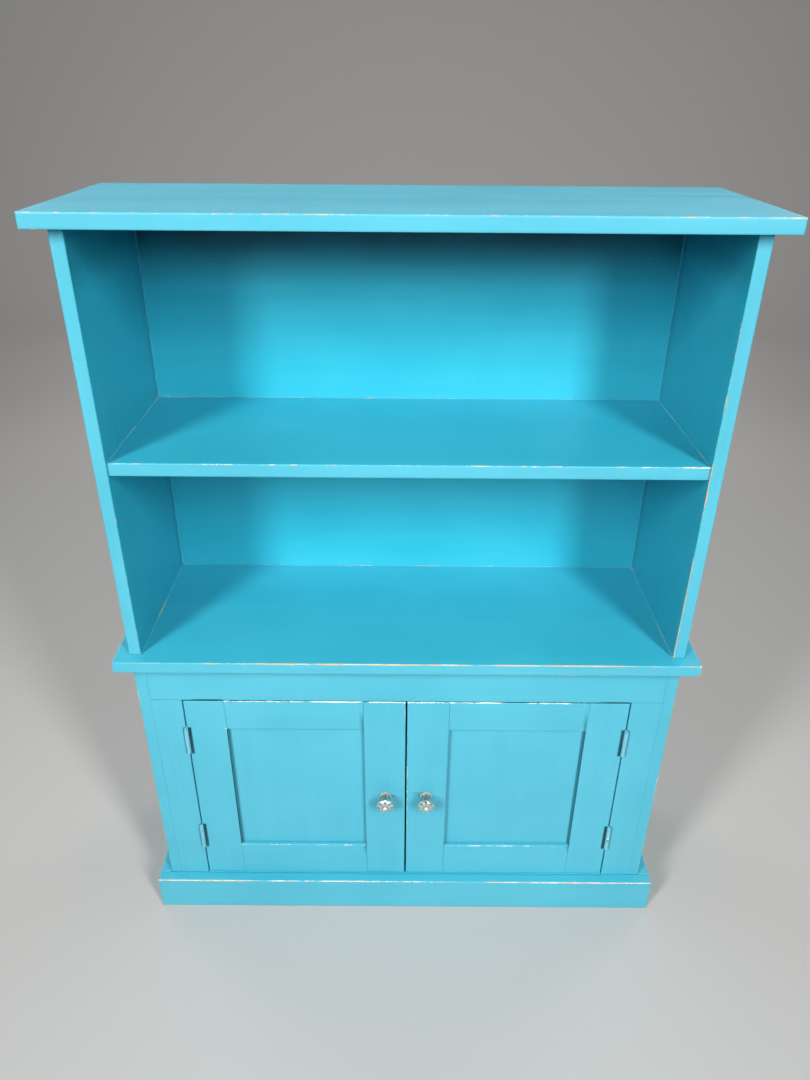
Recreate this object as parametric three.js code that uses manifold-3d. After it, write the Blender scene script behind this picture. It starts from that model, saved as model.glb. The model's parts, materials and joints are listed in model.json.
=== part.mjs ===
// Painted wooden hutch cabinet: an open upper unit with one shelf stands on a base cupboard
// with two framed doors. Millimetres, +Z up, the front faces -Y.
// The origin is on the floor, under the middle of the whole cabinet.
import * as THREE from "three";
import { mergeVertices } from "three/addons/utils/BufferGeometryUtils.js";
import Module from "manifold-3d";

// ---- Overall sizes ----
const HEIGHT = 1180; // floor to the top surface
const BODY_WIDTH = 837; // across the side boards, upper unit and base alike
const BODY_DEPTH = 272; // front edges of the upper sides to the rear of the cabinet
const BASE_HEIGHT = 552; // floor to the top of the counter
const LOWER_BAY = 293.5; // clear height between the counter and the shelf

// ---- Boards ----
const BOARD = 19; // shelves, counter, top, face frame, doors and plinth
const SIDE_BOARD = 18; // side boards
const BACK_BOARD = 6; // back panels
const FIT = 0.3; // clearance wherever two pieces meet
const HOUSING = 6; // depth of the grooves that hold the shelf and the bottom board
const REBATE = 9; // width that each back panel laps over the side boards

// ---- Overhangs and set-backs, seen from the front edges of the upper sides ----
const TOP_SIDE_OVERHANG = 23.2;
const TOP_FRONT_OVERHANG = 22.7;
const COUNTER_SIDE_OVERHANG = 21;
const COUNTER_FRONT_OVERHANG = 19.8;
const SHELF_SETBACK = 3.3;
const FACE_SETBACK = 3.8; // plane of the face frame and the doors

// ---- Base ----
const PLINTH_HEIGHT = 66.6;
const FACE_STILE = 48; // width of the upright face frame pieces
const FACE_RAIL = 71.2; // height of the rail over the doors
const STOP_DROP = 12; // how far the door stop reaches below the rail
const STOP_HEIGHT = 34;

// ---- Doors ----
const DOOR_HINGE_GAP = 2.2;
const DOOR_CENTRE_GAP = 2.6;
const DOOR_TOP_GAP = 1.5;
const DOOR_BOTTOM_GAP = 2;
const DOOR_OUTER_STILE = 63;
const DOOR_INNER_STILE = 66.5;
const DOOR_TOP_RAIL = 57.5;
const DOOR_BOTTOM_RAIL = 69;
const DOOR_PANEL = 6; // panel thickness
const DOOR_PANEL_RECESS = 8; // panel face behind the frame face
const DOOR_GROOVE = 9; // depth of the panel groove

// ---- Butt hinges ----
const HINGE_HEIGHT = 50;
const HINGE_LEAF = 1.2; // leaf thickness
const HINGE_LEAF_WIDTH = 16; // leaf reach behind the face
const HINGE_LEAF_GAP = 0.4; // between the two closed leaves
const HINGE_BARREL_R = 3.4;
const HINGE_BARREL_CLEAR = 0.4; // between the barrel and the face behind it
const HINGE_PIN_R = 1.4;
const HINGE_PIN_CAP_R = 2.6;
const HINGE_PIN_CAP = 1;
const HINGE_KNUCKLES = 3;
const HINGE_TOP_INSET = 80; // door top to the middle of the upper hinge
const HINGE_BOTTOM_INSET = 93.5; // door bottom to the middle of the lower hinge
const HINGE_SCREW_SPREAD = 28; // between the two screws of a leaf
const HINGE_SCREW_BACK = 9; // screw axis behind the face

// ---- Screws ----
const SCREW_HEAD_R = 2.6;
const SCREW_HEAD = 1.8;
const SCREW_SHANK_R = 1.3;
const SCREW_LENGTH = 13;
const SCREW_TIP = 3;
const SCREW_SLOT_WIDTH = 0.7;
const SCREW_SLOT_DEPTH = 0.6;

// ---- Glass knobs ----
const KNOB_FROM_CENTRE = 34;
const KNOB_BELOW_MIDDLE = 6.5;
const KNOB_BASE_R = 10.8;
const KNOB_NECK_R = 8.6;
const KNOB_CROWN_R = 15.2;
const KNOB_FACE_R = 8;
const KNOB_BASE = 2.8; // lengths of the knob's stages, from the door outwards
const KNOB_BASE_TAPER = 2.8;
const KNOB_NECK = 4.5;
const KNOB_FLARE = 9.6;
const KNOB_CROWN = 3.9;
const KNOB_BEVEL = 4.4;
const KNOB_SIDES = 8;
const KNOB_SCREW_R = 2;
const KNOB_SCREW_HEAD_R = 3.6;
const KNOB_SCREW_HEAD = 2.2;
const KNOB_SCREW_IN_DOOR = 14;

const ROUND_SIDES = 20; // sides of a round barrel, pin or screw
const DOME_STEPS = 3; // steps of a domed screw head
const CUT_PAST = 1; // how far a cut starts outside the surface it enters

// ---- Colours ----
const PAINT = 0x4dbcd6;
const PAINT_INSIDE = 0x46b2cc;
const GLASS = 0xe4e8dc;
const METAL = 0xa9a290;

// ---- Planes that follow from the sizes ----
const HINGE_BARREL_PROUD = HINGE_BARREL_R + HINGE_BARREL_CLEAR; // its axis before the face
const X_SIDE_OUT = BODY_WIDTH / 2;
const X_SIDE_IN = X_SIDE_OUT - SIDE_BOARD;
const X_HOUSING = X_SIDE_IN + HOUSING;
const X_FRAME = X_SIDE_IN - FIT;
const X_OPENING = X_FRAME - FACE_STILE;
const X_HINGE = X_OPENING - DOOR_HINGE_GAP / 2;

const Y_REAR = BODY_DEPTH;
const Y_BACK_FACE = Y_REAR - BACK_BOARD;
const Y_FACE = FACE_SETBACK;
const Y_FACE_REAR = Y_FACE + BOARD;
const Y_HINGE = Y_FACE - HINGE_BARREL_PROUD;
const Y_PLINTH_REAR = Y_FACE - FIT;
const KNOB_STAGES = [KNOB_BASE, KNOB_BASE_TAPER, KNOB_NECK, KNOB_FLARE, KNOB_CROWN, KNOB_BEVEL];
const KNOB_LENGTH = KNOB_STAGES.reduce((sum, stage) => sum + stage, 0);
const Y_KNOB_FRONT = Y_FACE - FIT * 2 - KNOB_LENGTH - KNOB_SCREW_HEAD;
const Y_FRONTMOST = Math.min(Y_KNOB_FRONT, -TOP_FRONT_OVERHANG, -COUNTER_FRONT_OVERHANG);
const Y_MIDDLE = (Y_FRONTMOST + Y_REAR) / 2;

const Z_TOP_UNDER = HEIGHT - BOARD;
const Z_COUNTER_UNDER = BASE_HEIGHT - BOARD;
const Z_SHELF_UNDER = BASE_HEIGHT + LOWER_BAY;
const Z_SHELF_TOP = Z_SHELF_UNDER + BOARD;
const Z_OPENING_TOP = Z_COUNTER_UNDER - FACE_RAIL;
const Z_DOOR_TOP = Z_OPENING_TOP - DOOR_TOP_GAP;
const Z_DOOR_BOTTOM = PLINTH_HEIGHT + DOOR_BOTTOM_GAP;
const Z_DECK_TOP = PLINTH_HEIGHT;
const Z_DECK_UNDER = Z_DECK_TOP - BOARD;
const Z_HINGES = {
  top: Z_DOOR_TOP - HINGE_TOP_INSET,
  bottom: Z_DOOR_BOTTOM + HINGE_BOTTOM_INSET,
};
const Z_KNOB = (Z_DOOR_TOP + Z_DOOR_BOTTOM) / 2 - KNOB_BELOW_MIDDLE;

const SIDES = { left: -1, right: 1 };

// ---- Solids ----
const wasm = await Module();
wasm.setup();

// A closed three.js geometry as a solid, with its faces turned outwards.
function solid(geometry) {
  const bare = geometry.clone();
  bare.deleteAttribute("normal");
  bare.deleteAttribute("uv");
  const merged = mergeVertices(bare, 1e-4);
  const index = merged.index.array;
  const faces = [];
  for (let i = 0; i < index.length; i += 3) {
    const [a, b, c] = [index[i], index[i + 1], index[i + 2]];
    if (a !== b && b !== c && c !== a) faces.push([a, b, c]);
  }
  const make = (list) =>
    new wasm.Manifold(
      new wasm.Mesh({
        numProp: 3,
        vertProperties: new Float32Array(merged.attributes.position.array),
        triVerts: new Uint32Array(list.flat()),
      }),
    );
  const made = make(faces);
  if (made.volume() > 0) return made;
  return make(faces.map(([a, b, c]) => [a, c, b]));
}

// A box between two values on each axis, given in either order.
function block(x, y, z) {
  const spans = [x, y, z].map(([a, b]) => [Math.min(a, b), Math.max(a, b)]);
  const size = spans.map(([a, b]) => b - a);
  const middle = spans.map(([a, b]) => (a + b) / 2);
  return solid(new THREE.BoxGeometry(...size).translate(...middle));
}

// A flat board cut to a plan outline of [x, y] points, between two heights.
function planBoard(points, [low, high]) {
  const outline = new THREE.Shape(points.map(([x, y]) => new THREE.Vector2(x, y)));
  const options = { depth: high - low, bevelEnabled: false };
  return solid(new THREE.ExtrudeGeometry(outline, options).translate(0, 0, low));
}

// A turned solid about the Y axis from [radius, y] points that start and end on the axis.
function turned(points, sides = ROUND_SIDES) {
  const profile = points.map(([r, y]) => new THREE.Vector2(r, y));
  return new THREE.LatheGeometry(profile, sides);
}

// A solid back as a geometry with flat faces.
function geometryOf(made) {
  const mesh = made.getMesh();
  const geometry = new THREE.BufferGeometry();
  const positions = new THREE.BufferAttribute(new Float32Array(mesh.vertProperties), 3);
  geometry.setAttribute("position", positions);
  geometry.setIndex(new THREE.BufferAttribute(new Uint32Array(mesh.triVerts), 1));
  const flat = geometry.toNonIndexed();
  flat.computeVertexNormals();
  return flat;
}

const LOOKS = {
  paint: { color: PAINT, roughness: 0.45, metalness: 0 },
  paintInside: { color: PAINT_INSIDE, roughness: 0.5, metalness: 0 },
  glass: { color: GLASS, roughness: 0.05, metalness: 0, transparent: true, opacity: 0.4 },
  metal: { color: METAL, roughness: 0.4, metalness: 0.9 },
};

function addPiece(group, name, made, look = "paint") {
  const material = new THREE.MeshStandardMaterial(LOOKS[look]);
  const mesh = new THREE.Mesh(geometryOf(made), material);
  mesh.name = name;
  group.add(mesh);
  return mesh;
}

// ---- Screws and the holes they sit in, along +Y with the head's top at y = 0 ----
function screwShape(grow, above) {
  const head = SCREW_HEAD_R + grow;
  const shank = SCREW_SHANK_R + grow;
  const start = above ? [[0, -above], [head, -above]] : [[0, 0]];
  return [
    ...start,
    [head, 0],
    [shank, SCREW_HEAD],
    [shank, SCREW_LENGTH - SCREW_TIP],
    [0, SCREW_LENGTH + grow],
  ];
}

// Turns a +Y solid so that it points along +X or -X, then moves it.
function alongX(geometry, way, [x, y, z]) {
  return geometry.rotateZ((-way * Math.PI) / 2).translate(x, y, z);
}

function hingeScrew(way, at) {
  const body = solid(alongX(turned(screwShape(0, 0)), way, at));
  const [x, y, z] = at;
  const across = [y - SCREW_HEAD_R * 2, y + SCREW_HEAD_R * 2];
  const thick = [z - SCREW_SLOT_WIDTH / 2, z + SCREW_SLOT_WIDTH / 2];
  return body.subtract(block([x - way, x + way * SCREW_SLOT_DEPTH], across, thick));
}

function hingeScrewHole(way, at) {
  return solid(alongX(turned(screwShape(FIT, CUT_PAST)), way, at));
}

// ---- One hinge leaf; its hinge axis is x = y = 0, its middle z = 0, way = -1 or 1 in x ----
const LEAF_X_IN = HINGE_LEAF_GAP / 2;
const LEAF_X_OUT = LEAF_X_IN + HINGE_LEAF;
const LEAF_Y_FRONT = HINGE_BARREL_PROUD;
const LEAF_Y_REAR = LEAF_Y_FRONT + HINGE_LEAF_WIDTH;
const SCREW_Y = LEAF_Y_FRONT + HINGE_SCREW_BACK;
const SCREW_ZS = { upper: HINGE_SCREW_SPREAD / 2, lower: -HINGE_SCREW_SPREAD / 2 };
const BORE_R = HINGE_PIN_R + FIT;

function knuckleSpans(first) {
  const pitch = HINGE_HEIGHT / HINGE_KNUCKLES;
  const spans = [];
  for (let i = first; i < HINGE_KNUCKLES; i += 2) {
    const low = -HINGE_HEIGHT / 2 + i * pitch + (i > 0 ? FIT / 2 : 0);
    const high = -HINGE_HEIGHT / 2 + (i + 1) * pitch - (i < HINGE_KNUCKLES - 1 ? FIT / 2 : 0);
    spans.push([low, high]);
  }
  return spans;
}

function hingeLeaf(way, firstKnuckle) {
  const sheet = [way * LEAF_X_IN, way * LEAF_X_OUT];
  const half = HINGE_HEIGHT / 2;
  let leaf = block(sheet, [LEAF_Y_FRONT, LEAF_Y_REAR], [-half, half]);
  for (const [low, high] of knuckleSpans(firstKnuckle)) {
    const height = high - low;
    const barrel = new THREE.CylinderGeometry(HINGE_BARREL_R, HINGE_BARREL_R, height, ROUND_SIDES);
    const tube = solid(barrel.rotateX(Math.PI / 2).translate(0, 0, (low + high) / 2));
    const root = (BORE_R + HINGE_BARREL_R) / 2;
    leaf = leaf.add(tube).add(block(sheet, [root, LEAF_Y_FRONT + FIT], [low, high]));
  }
  const bore = new THREE.CylinderGeometry(BORE_R, BORE_R, HINGE_HEIGHT * 2, ROUND_SIDES);
  leaf = leaf.subtract(solid(bore.rotateX(Math.PI / 2)));
  for (const z of Object.values(SCREW_ZS)) {
    leaf = leaf.subtract(hingeScrewHole(way, [way * LEAF_X_IN, SCREW_Y, z]));
  }
  return leaf;
}

function hingePin() {
  const half = HINGE_HEIGHT / 2 + FIT;
  const profile = [
    [0, -half - HINGE_PIN_CAP],
    [HINGE_PIN_CAP_R, -half - HINGE_PIN_CAP / 2],
    [HINGE_PIN_CAP_R, -half],
    [HINGE_PIN_R, -half],
    [HINGE_PIN_R, half],
    [HINGE_PIN_CAP_R, half],
    [HINGE_PIN_CAP_R, half + HINGE_PIN_CAP / 2],
    [0, half + HINGE_PIN_CAP],
  ];
  return solid(turned(profile).rotateX(Math.PI / 2));
}

// What a leaf and its screws take out of the wood edge at wood x = 0, from hinge x = 0.
function leafRecess(way) {
  const sheet = [way * LEAF_X_IN, way * (LEAF_X_OUT + FIT)];
  const half = HINGE_HEIGHT / 2 + FIT;
  let cut = block(sheet, [0, LEAF_Y_REAR + FIT], [-half, half]);
  for (const z of Object.values(SCREW_ZS)) {
    cut = cut.add(hingeScrewHole(way, [way * LEAF_X_IN, SCREW_Y, z]));
  }
  return cut;
}

function addHingeScrews(group, name, way) {
  for (const [place, z] of Object.entries(SCREW_ZS)) {
    const screw = hingeScrew(way, [way * LEAF_X_IN, SCREW_Y, z]);
    addPiece(group, `${name}_screw_${place}`, screw, "metal");
  }
}

// ---- Upper unit ----
const cabinet = new THREE.Group();
cabinet.position.set(0, -Y_MIDDLE, 0);
const carcass = new THREE.Group();
cabinet.add(carcass);

// A side board in plan: a rebate for the back panel along the inner rear edge.
function sideBoard(side, front, heights) {
  const rebateX = side * (X_SIDE_IN + REBATE + FIT);
  const rebateY = Y_BACK_FACE - FIT;
  const inner = side * X_SIDE_IN;
  const outer = side * X_SIDE_OUT;
  const outline = [
    [inner, front],
    [outer, front],
    [outer, Y_REAR],
    [rebateX, Y_REAR],
    [rebateX, rebateY],
    [inner, rebateY],
  ];
  return planBoard(outline, heights);
}

// A housing groove for a horizontal board, in a side board's inner face.
function housing(side, front, [low, high]) {
  const x = [side * (X_SIDE_IN - CUT_PAST), side * X_HOUSING];
  return block(x, [front - FIT, Y_REAR], [low - FIT, high + FIT]);
}

function backPanel(heights) {
  const half = X_SIDE_IN + REBATE;
  return block([-half, half], [Y_BACK_FACE, Y_REAR], heights);
}

const topHalf = X_SIDE_OUT + TOP_SIDE_OVERHANG;
addPiece(
  carcass,
  "top_board",
  block([-topHalf, topHalf], [-TOP_FRONT_OVERHANG, Y_REAR], [Z_TOP_UNDER, HEIGHT]),
);

const upperHeights = [BASE_HEIGHT + FIT, Z_TOP_UNDER - FIT];
for (const [word, side] of Object.entries(SIDES)) {
  const groove = housing(side, SHELF_SETBACK, [Z_SHELF_UNDER, Z_SHELF_TOP]);
  const board = sideBoard(side, 0, upperHeights).subtract(groove);
  addPiece(carcass, `upper_side_${word}`, board);
}

const shelfHalf = X_HOUSING - FIT;
const shelfDepths = [SHELF_SETBACK, Y_BACK_FACE - FIT];
addPiece(
  carcass,
  "middle_shelf",
  block([-shelfHalf, shelfHalf], shelfDepths, [Z_SHELF_UNDER, Z_SHELF_TOP]),
);
addPiece(carcass, "upper_back_panel", backPanel(upperHeights), "paintInside");

// ---- Counter and base ----
const counterHalf = X_SIDE_OUT + COUNTER_SIDE_OVERHANG;
addPiece(
  carcass,
  "counter_top",
  block(
    [-counterHalf, counterHalf],
    [-COUNTER_FRONT_OVERHANG, Y_REAR],
    [Z_COUNTER_UNDER, BASE_HEIGHT],
  ),
);

const baseTop = Z_COUNTER_UNDER - FIT;
for (const [word, side] of Object.entries(SIDES)) {
  const groove = housing(side, Y_FACE_REAR + FIT, [Z_DECK_UNDER, Z_DECK_TOP]);
  addPiece(carcass, `base_side_${word}`, sideBoard(side, Y_FACE, [0, baseTop]).subtract(groove));
}
addPiece(carcass, "base_back_panel", backPanel([0, baseTop]), "paintInside");

// The bottom board reaches forward between the face stiles and is housed behind them.
const deckFront = X_OPENING - FIT;
const deckSide = X_HOUSING - FIT;
const deckStep = Y_FACE_REAR + FIT * 2;
const deckOutline = [
  [-deckFront, Y_FACE],
  [deckFront, Y_FACE],
  [deckFront, deckStep],
  [deckSide, deckStep],
  [deckSide, Y_BACK_FACE - FIT],
  [-deckSide, Y_BACK_FACE - FIT],
  [-deckSide, deckStep],
  [-deckFront, deckStep],
];
addPiece(carcass, "base_bottom_board", planBoard(deckOutline, [Z_DECK_UNDER, Z_DECK_TOP]));

const faceDepths = [Y_FACE, Y_FACE_REAR];
addPiece(
  carcass,
  "face_top_rail",
  block([-X_FRAME, X_FRAME], faceDepths, [Z_OPENING_TOP, baseTop]),
);
addPiece(
  carcass,
  "door_stop_batten",
  block(
    [-X_OPENING, X_OPENING],
    [Y_FACE_REAR + FIT, Y_FACE_REAR + FIT + BOARD],
    [Z_OPENING_TOP - STOP_DROP, Z_OPENING_TOP - STOP_DROP + STOP_HEIGHT],
  ),
);

for (const [word, side] of Object.entries(SIDES)) {
  let stile = block([side * X_OPENING, side * X_FRAME], faceDepths, [0, Z_OPENING_TOP - FIT]);
  for (const z of Object.values(Z_HINGES)) {
    stile = stile.subtract(leafRecess(side).translate([side * X_HINGE, Y_HINGE, z]));
  }
  addPiece(carcass, `face_stile_${word}`, stile);
}

const plinthIn = X_SIDE_OUT + FIT;
const plinthOut = plinthIn + BOARD;
const plinthHeights = [0, PLINTH_HEIGHT];
const plinthDepths = [Y_PLINTH_REAR - BOARD, Y_PLINTH_REAR];
addPiece(carcass, "plinth_front", block([-plinthOut, plinthOut], plinthDepths, plinthHeights));
for (const [word, side] of Object.entries(SIDES)) {
  const across = [side * plinthIn, side * plinthOut];
  addPiece(carcass, `plinth_side_${word}`, block(across, [Y_FACE, Y_REAR], plinthHeights));
}

// ---- Doors, each in a group whose origin is its hinge axis at floor level ----
// u runs from the hinge axis towards the middle of the cabinet, d from the axis to the rear.
const U_EDGE = DOOR_HINGE_GAP / 2;
const U_END = X_HINGE - DOOR_CENTRE_GAP / 2;
const U_PANEL_LOW = U_EDGE + DOOR_OUTER_STILE;
const U_PANEL_HIGH = U_END - DOOR_INNER_STILE;
const U_KNOB = X_HINGE - KNOB_FROM_CENTRE;
const D_FACE = HINGE_BARREL_PROUD;
const D_REAR = D_FACE + BOARD;
const D_PANEL = [D_FACE + DOOR_PANEL_RECESS, D_FACE + DOOR_PANEL_RECESS + DOOR_PANEL];
const D_GROOVE = [D_PANEL[0] - FIT, D_PANEL[1] + FIT];
const Z_PANEL_TOP = Z_DOOR_TOP - DOOR_TOP_RAIL;
const Z_PANEL_BOTTOM = Z_DOOR_BOTTOM + DOOR_BOTTOM_RAIL;
const TONGUE = DOOR_GROOVE - FIT;

// A knob, its screw and the screw's hole point along -Y from y = 0 at the door face.
function knobGlass() {
  const radii = [
    KNOB_BASE_R,
    KNOB_NECK_R,
    KNOB_NECK_R,
    KNOB_CROWN_R,
    KNOB_CROWN_R,
    KNOB_FACE_R,
  ];
  const profile = [[0, 0], [KNOB_BASE_R, 0]];
  let out = 0;
  KNOB_STAGES.forEach((stage, i) => {
    out += stage;
    profile.push([radii[i], out]);
  });
  profile.push([0, out]);
  const flatsUp = Math.PI / KNOB_SIDES;
  const glass = solid(turned(profile, KNOB_SIDES).rotateY(flatsUp).rotateX(Math.PI));
  const boreR = KNOB_SCREW_R + FIT;
  const boreLength = (KNOB_LENGTH + CUT_PAST) * 2;
  const bore = new THREE.CylinderGeometry(boreR, boreR, boreLength, ROUND_SIDES);
  return glass.subtract(solid(bore)).translate([0, -FIT, 0]);
}

function knobScrew() {
  const under = KNOB_LENGTH + FIT * 2;
  const profile = [
    [0, -KNOB_SCREW_IN_DOOR],
    [KNOB_SCREW_R, -KNOB_SCREW_IN_DOOR + KNOB_SCREW_R],
    [KNOB_SCREW_R, under],
  ];
  for (let i = 0; i < DOME_STEPS; i += 1) {
    const turn = (i / DOME_STEPS) * (Math.PI / 2);
    const rise = KNOB_SCREW_HEAD * Math.sin(turn);
    profile.push([KNOB_SCREW_HEAD_R * Math.cos(turn), under + rise]);
  }
  profile.push([0, under + KNOB_SCREW_HEAD]);
  return solid(turned(profile).rotateX(Math.PI));
}

function knobHole() {
  const r = KNOB_SCREW_R + FIT;
  const depth = KNOB_SCREW_IN_DOOR + FIT;
  const hole = new THREE.CylinderGeometry(r, r, depth * 2, ROUND_SIDES);
  return solid(hole);
}

function addDoor(word, side) {
  const name = `door_${word}`;
  const door = new THREE.Group();
  door.position.set(side * X_HINGE, Y_HINGE, 0);
  cabinet.add(door);
  const x = (u) => -side * u;
  const across = (u0, u1) => [x(u0), x(u1)];
  const tall = [Z_DOOR_BOTTOM, Z_DOOR_TOP];
  const deep = [D_FACE, D_REAR];

  const outerGroove = block(
    across(U_PANEL_LOW - DOOR_GROOVE, U_PANEL_LOW + CUT_PAST),
    D_GROOVE,
    [0, HEIGHT],
  );
  let outer = block(across(U_EDGE, U_PANEL_LOW), deep, tall).subtract(outerGroove);
  for (const z of Object.values(Z_HINGES)) {
    outer = outer.subtract(leafRecess(-side).translate([0, 0, z]));
  }
  addPiece(door, `${name}_outer_stile`, outer);

  const innerGroove = block(
    across(U_PANEL_HIGH - CUT_PAST, U_PANEL_HIGH + DOOR_GROOVE),
    D_GROOVE,
    [0, HEIGHT],
  );
  const inner = block(across(U_PANEL_HIGH, U_END), deep, tall)
    .subtract(innerGroove)
    .subtract(knobHole().translate([x(U_KNOB), D_FACE, Z_KNOB]));
  addPiece(door, `${name}_inner_stile`, inner);

  // A rail is grooved along the panel, with a tongue at each end that fills the stile's groove.
  const railAcross = across(U_PANEL_LOW + FIT, U_PANEL_HIGH - FIT);
  const tongueAcross = across(U_PANEL_LOW - TONGUE, U_PANEL_HIGH + TONGUE);
  const rail = (edge, panelEdge) => {
    const inward = Math.sign(panelEdge - edge);
    const grooveEnd = panelEdge - inward * DOOR_GROOVE;
    const grooveStart = panelEdge + inward * CUT_PAST;
    const groove = block(tongueAcross, D_GROOVE, [grooveEnd, grooveStart]);
    const tongue = block(tongueAcross, D_PANEL, [edge, grooveEnd]);
    return block(railAcross, deep, [edge, panelEdge]).subtract(groove).add(tongue);
  };
  addPiece(door, `${name}_top_rail`, rail(Z_DOOR_TOP, Z_PANEL_TOP));
  addPiece(door, `${name}_bottom_rail`, rail(Z_DOOR_BOTTOM, Z_PANEL_BOTTOM));

  const panel = block(tongueAcross, D_PANEL, [Z_PANEL_BOTTOM - TONGUE, Z_PANEL_TOP + TONGUE]);
  addPiece(door, `${name}_panel`, panel);

  const knob = new THREE.Group();
  knob.position.set(x(U_KNOB), D_FACE, Z_KNOB);
  door.add(knob);
  addPiece(knob, `knob_${word}_glass`, knobGlass(), "glass");
  addPiece(knob, `knob_${word}_screw`, knobScrew(), "metal");

  for (const [place, z] of Object.entries(Z_HINGES)) {
    const still = new THREE.Group();
    still.position.set(side * X_HINGE, Y_HINGE, z);
    carcass.add(still);
    const stem = `hinge_${word}_${place}`;
    addPiece(still, `${stem}_frame_leaf`, hingeLeaf(side, 0));
    addPiece(still, `${stem}_pin`, hingePin());
    addHingeScrews(still, `${stem}_frame`, side);

    const moving = new THREE.Group();
    moving.position.set(0, 0, z);
    door.add(moving);
    addPiece(moving, `${stem}_door_leaf`, hingeLeaf(-side, 1));
    addHingeScrews(moving, `${stem}_door`, -side);
  }
}

for (const [word, side] of Object.entries(SIDES)) addDoor(word, side);

export default cabinet;
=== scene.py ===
"""Looks of a turquoise brush-painted hutch: open shelves above, two framed doors below, glass knobs.
Everything is in metres in the row frame: +X right, +Y back, +Z up, floor at z = 0."""
import json
import math

import bmesh
import bpy
import numpy as np
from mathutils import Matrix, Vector, noise

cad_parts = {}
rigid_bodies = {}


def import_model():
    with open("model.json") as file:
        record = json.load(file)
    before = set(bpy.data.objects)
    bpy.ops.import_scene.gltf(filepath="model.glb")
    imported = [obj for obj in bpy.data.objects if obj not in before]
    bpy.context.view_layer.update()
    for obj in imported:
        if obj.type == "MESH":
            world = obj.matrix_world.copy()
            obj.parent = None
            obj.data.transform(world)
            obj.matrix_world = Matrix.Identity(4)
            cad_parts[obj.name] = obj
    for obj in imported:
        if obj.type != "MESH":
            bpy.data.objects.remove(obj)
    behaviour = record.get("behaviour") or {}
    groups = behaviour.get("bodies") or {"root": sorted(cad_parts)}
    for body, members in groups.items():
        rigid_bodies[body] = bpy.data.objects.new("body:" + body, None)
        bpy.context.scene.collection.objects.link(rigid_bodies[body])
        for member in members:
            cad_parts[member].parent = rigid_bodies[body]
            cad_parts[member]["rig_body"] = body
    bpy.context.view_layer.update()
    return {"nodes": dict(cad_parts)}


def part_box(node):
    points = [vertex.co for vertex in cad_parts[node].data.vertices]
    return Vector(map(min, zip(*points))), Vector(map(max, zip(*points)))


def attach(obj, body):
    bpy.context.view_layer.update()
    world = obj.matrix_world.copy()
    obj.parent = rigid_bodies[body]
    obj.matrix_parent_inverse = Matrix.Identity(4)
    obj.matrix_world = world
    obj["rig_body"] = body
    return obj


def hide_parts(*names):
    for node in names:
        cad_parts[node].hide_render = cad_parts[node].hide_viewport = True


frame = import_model()
MM = 0.001
AXES = "xyz"

# ---- Meshes ----
WELD = 1e-6
FLAT_ANGLE = math.radians(0.5)
CORNER_ANGLE = math.radians(60)
SHORTEST_EASED = 8 * MM  # shorter edges, such as those of screw holes, stay sharp
EASE_SEGMENTS = 2
SMOOTH_ANGLE = math.radians(50)
BOARD_EASE = 0.9 * MM
PANEL_EASE = 0.4 * MM
HINGE_EASE = 0.25 * MM
EDGE_STEP = 9 * MM  # between slices along the grain
CROSS_STEP = 30 * MM  # between slices across it
LEAST_STEPS = 1.5  # a board thinner than this many steps isn't sliced evenly
NEAR_EDGE = 3 * MM  # the first slice inside an edge
SLICE_MARGIN = 0.2 * MM  # no slice is nearer to an end than this
WEAR_REACH = 3.2 * MM
WORN_DEPTH = 0.45 * MM
CUT_SPAN, CUT_FADE = 1.6, 1.8  # how many eases from an edge wear cuts, and where it would fade out
RUB_STRENGTH = 0.7  # how unevenly an edge is rubbed
# The rubbing's noise: waves per metre along the edge, its offset for each axis and its weight.
RUB_WAVES = ((14, 5.3, 1.0), (55, 3.1, 0.5))
SURFACE_WAVE = 0.10 * MM
WAVES_PER_METRE = 9
FALLBACK_WEAR = 0.22
MOST_WEAR = 1.4
TIGHT_EASE = 0.12 * MM
TIGHT_SPAN = 0.8  # of the ease, from a tight edge, that is drawn back to it
DENT_ALONG_GRAIN = 0.05  # how much a dent leans along the grain
DENT_CURVE = 0.7
DENT_WORN = 1.25  # how far the paint is off around a dent, in radii
# How much of a normal lies along +z, or -y, where its face starts to count as looking up, or ahead, and the
# span over which it comes to count fully.
UP_FROM, UP_SPAN = 0.8, 0.2
AHEAD_FROM, AHEAD_SPAN = 0.6, 0.3
SEEDS = 97


def sign_key(*normals):
    """The name of a board's edge from its two faces, such as -y+z for the top front edge."""
    found = []
    for normal in normals:
        axis = max(range(3), key=lambda i: abs(normal[i]))
        found.append((axis, "-+"[normal[axis] > 0] + AXES[axis]))
    return "".join(word for _, word in sorted(found))


def copied(node):
    """A welded copy of a CAD node with its flat faces whole."""
    bm = bmesh.new()
    bm.from_mesh(frame["nodes"][node].data)
    bmesh.ops.remove_doubles(bm, verts=bm.verts, dist=WELD)
    bmesh.ops.dissolve_limit(bm, angle_limit=FLAT_ANGLE, verts=bm.verts, edges=bm.edges)
    return bm


def long_corners(bm):
    return [
        e
        for e in bm.edges
        if len(e.link_faces) == 2
        and e.is_convex
        and e.calc_face_angle() > CORNER_ANGLE
        and e.calc_length() > SHORTEST_EASED
    ]


def ease_edges(bm, edges, ease):
    """Rounds the edges over by ease."""
    bmesh.ops.bevel(
        bm,
        geom=edges,
        offset=ease,
        segments=EASE_SEGMENTS,
        profile=0.5,
        affect="EDGES",
        clamp_overlap=True,
    )


def slice_at(bm, place, normal, **settings):
    """Cuts every face that crosses the plane, so that it has vertices there."""
    geom = bm.verts[:] + bm.edges[:] + bm.faces[:]
    bmesh.ops.bisect_plane(bm, geom=geom, plane_co=place, plane_no=normal, **settings)


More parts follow.
